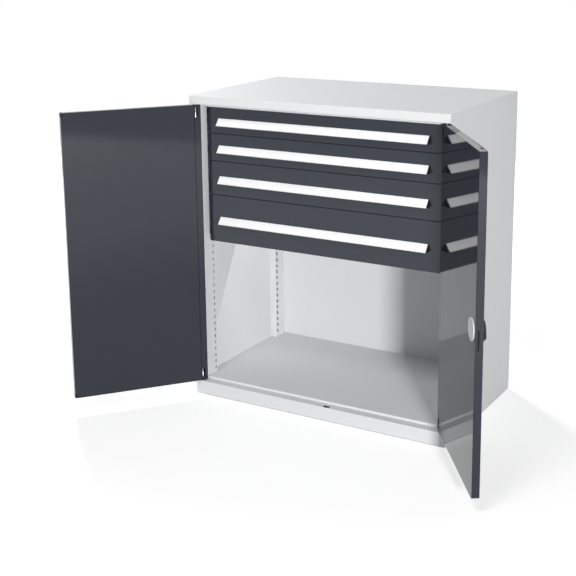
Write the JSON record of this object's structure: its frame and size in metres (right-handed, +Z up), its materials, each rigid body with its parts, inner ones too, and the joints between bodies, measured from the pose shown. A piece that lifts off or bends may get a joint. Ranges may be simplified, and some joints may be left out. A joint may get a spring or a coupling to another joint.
{
  "type": "tool cabinet with doors",
  "caption": "Free-standing sheet-metal tool cabinet with two hinged doors, full-extension drawers and an open lower compartment; doors drawn open.",
  "frame": {"origin": "on the floor, at the middle of the four floor anchor holes and under the middle of the carcass", "axes": "+Z up, -Y towards the doors and drawers, +X to the right seen from the front"},
  "size_m": [1.5643, 0.9883, 1.12],
  "materials": {
    "carcass_paint": "light grey powder coat, fine texture",
    "door_paint": "anthracite powder coat, glossy",
    "drawer_paint": "anthracite powder coat, satin",
    "tray_paint": "light grey powder coat",
    "zinc": "bright zinc plating",
    "strip_aluminium": "clear anodised extrusion",
    "label_card": "white card behind clear film",
    "black_plastic": "black moulded plastic",
    "handle_metal": "black coated die-cast zinc, satin gloss",
    "cover_plastic": "light grey moulded plastic"
  },
  "bodies": {
    "carcass": {"side_left": "carcass_paint", "side_right": "carcass_paint", "back_panel": "carcass_paint", "top_panel": "carcass_paint", "top_rail": "carcass_paint", "plinth": "carcass_paint", "floor_panel": "carcass_paint", "front_uprights": "carcass_paint", "rear_uprights": "carcass_paint", "fixed_runners_left": "zinc", "fixed_runners_right": "zinc", "pivot_bushes": "black_plastic"},
    "left_door": {"left_door_shell": "door_paint", "left_door_liner": "door_paint", "left_hinge_pins": "zinc", "left_pin_pockets": "black_plastic", "left_corner_guides": "black_plastic"},
    "right_door": {"right_door_shell": "door_paint", "right_door_liner": "door_paint", "right_hinge_pins": "zinc", "right_pin_pockets": "black_plastic", "rod_guides": "black_plastic", "lock_case": "zinc", "lock_cover": "cover_plastic", "handle_rose": "black_plastic", "rose_screws": "zinc"},
    "handle": {"turn_handle": "handle_metal", "lock_cam": "zinc"},
    "key_plug": {"lock_plug": "zinc"},
    "top_rod": {"lock_rod_top": "zinc"},
    "bottom_rod": {"lock_rod_bottom": "zinc"},
    "blade": {"latch_blade": "black_plastic"},
    "drawer_1": {"drawer_front_1": "drawer_paint", "drawer_tray_1": "tray_paint", "handle_strip_1": "strip_aluminium", "label_1": "label_card", "strip_caps_1": "black_plastic", "drawer_runners_1": "zinc"},
    "mid_runner_1": {"mid_runners_1": "zinc"},
    "drawer_2": {"drawer_front_2": "drawer_paint", "drawer_tray_2": "tray_paint", "handle_strip_2": "strip_aluminium", "label_2": "label_card", "strip_caps_2": "black_plastic", "drawer_runners_2": "zinc"},
    "mid_runner_2": {"mid_runners_2": "zinc"},
    "drawer_3": {"drawer_front_3": "drawer_paint", "drawer_tray_3": "tray_paint", "handle_strip_3": "strip_aluminium", "label_3": "label_card", "strip_caps_3": "black_plastic", "drawer_runners_3": "zinc"},
    "mid_runner_3": {"mid_runners_3": "zinc"},
    "drawer_4": {"drawer_front_4": "drawer_paint", "drawer_tray_4": "tray_paint", "handle_strip_4": "strip_aluminium", "label_4": "label_card", "strip_caps_4": "black_plastic", "drawer_runners_4": "zinc"},
    "mid_runner_4": {"mid_runners_4": "zinc"}
  },
  "joints": [
    {"name": "left_door_hinge", "type": "hinge", "parent": "carcass", "child": "left_door", "pos_m": [-0.4825, -0.2875, 0.561], "axis": [0, 0, -1], "range_deg": [-129, 51]},
    {"name": "right_door_hinge", "type": "hinge", "parent": "carcass", "child": "right_door", "pos_m": [0.4825, -0.2875, 0.561], "axis": [0, 0, 1], "range_deg": [-125, 55]},
    {"name": "handle_turn", "type": "hinge", "parent": "right_door", "child": "handle", "pos_m": [0.74253, -0.63707, 0.561], "axis": [-0.8192, -0.5736, 0], "range_deg": [0, 90]},
    {"name": "key_turn", "type": "hinge", "parent": "handle", "child": "key_plug", "pos_m": [0.74253, -0.63707, 0.543], "axis": [-0.8192, -0.5736, 0], "range_deg": [0, 90]},
    {"name": "top_rod_slide", "type": "slide", "parent": "right_door", "child": "top_rod", "axis": [0, 0, 1], "range_m": [0, 0.0198]},
    {"name": "bottom_rod_slide", "type": "slide", "parent": "right_door", "child": "bottom_rod", "axis": [0, 0, -1], "range_m": [0, 0.0198]},
    {"name": "blade_slide", "type": "slide", "parent": "right_door", "child": "blade", "axis": [0.5736, -0.8192, 0], "range_m": [0, 0.0198]},
    {"name": "drawer_1_slide", "type": "slide", "parent": "carcass", "child": "drawer_1", "axis": [0, -1, 0], "range_m": [0, 0.45]},
    {"name": "mid_runner_1_slide", "type": "slide", "parent": "carcass", "child": "mid_runner_1", "axis": [0, -1, 0], "range_m": [0, 0.225]},
    {"name": "drawer_2_slide", "type": "slide", "parent": "carcass", "child": "drawer_2", "axis": [0, -1, 0], "range_m": [0, 0.45]},
    {"name": "mid_runner_2_slide", "type": "slide", "parent": "carcass", "child": "mid_runner_2", "axis": [0, -1, 0], "range_m": [0, 0.225]},
    {"name": "drawer_3_slide", "type": "slide", "parent": "carcass", "child": "drawer_3", "axis": [0, -1, 0], "range_m": [0, 0.45]},
    {"name": "mid_runner_3_slide", "type": "slide", "parent": "carcass", "child": "mid_runner_3", "axis": [0, -1, 0], "range_m": [0, 0.225]},
    {"name": "drawer_4_slide", "type": "slide", "parent": "carcass", "child": "drawer_4", "axis": [0, -1, 0], "range_m": [0, 0.45]},
    {"name": "mid_runner_4_slide", "type": "slide", "parent": "carcass", "child": "mid_runner_4", "axis": [0, -1, 0], "range_m": [0, 0.225]}
  ],
  "couplings": [
    {"joint": "top_rod_slide", "follows": "handle_turn", "m_per_rad": 0.012604},
    {"joint": "bottom_rod_slide", "follows": "handle_turn", "m_per_rad": 0.012604},
    {"joint": "blade_slide", "follows": "handle_turn", "m_per_rad": 0.012604},
    {"joint": "mid_runner_1_slide", "follows": "drawer_1_slide", "ratio": 0.5},
    {"joint": "mid_runner_2_slide", "follows": "drawer_2_slide", "ratio": 0.5},
    {"joint": "mid_runner_3_slide", "follows": "drawer_3_slide", "ratio": 0.5},
    {"joint": "mid_runner_4_slide", "follows": "drawer_4_slide", "ratio": 0.5}
  ]
}
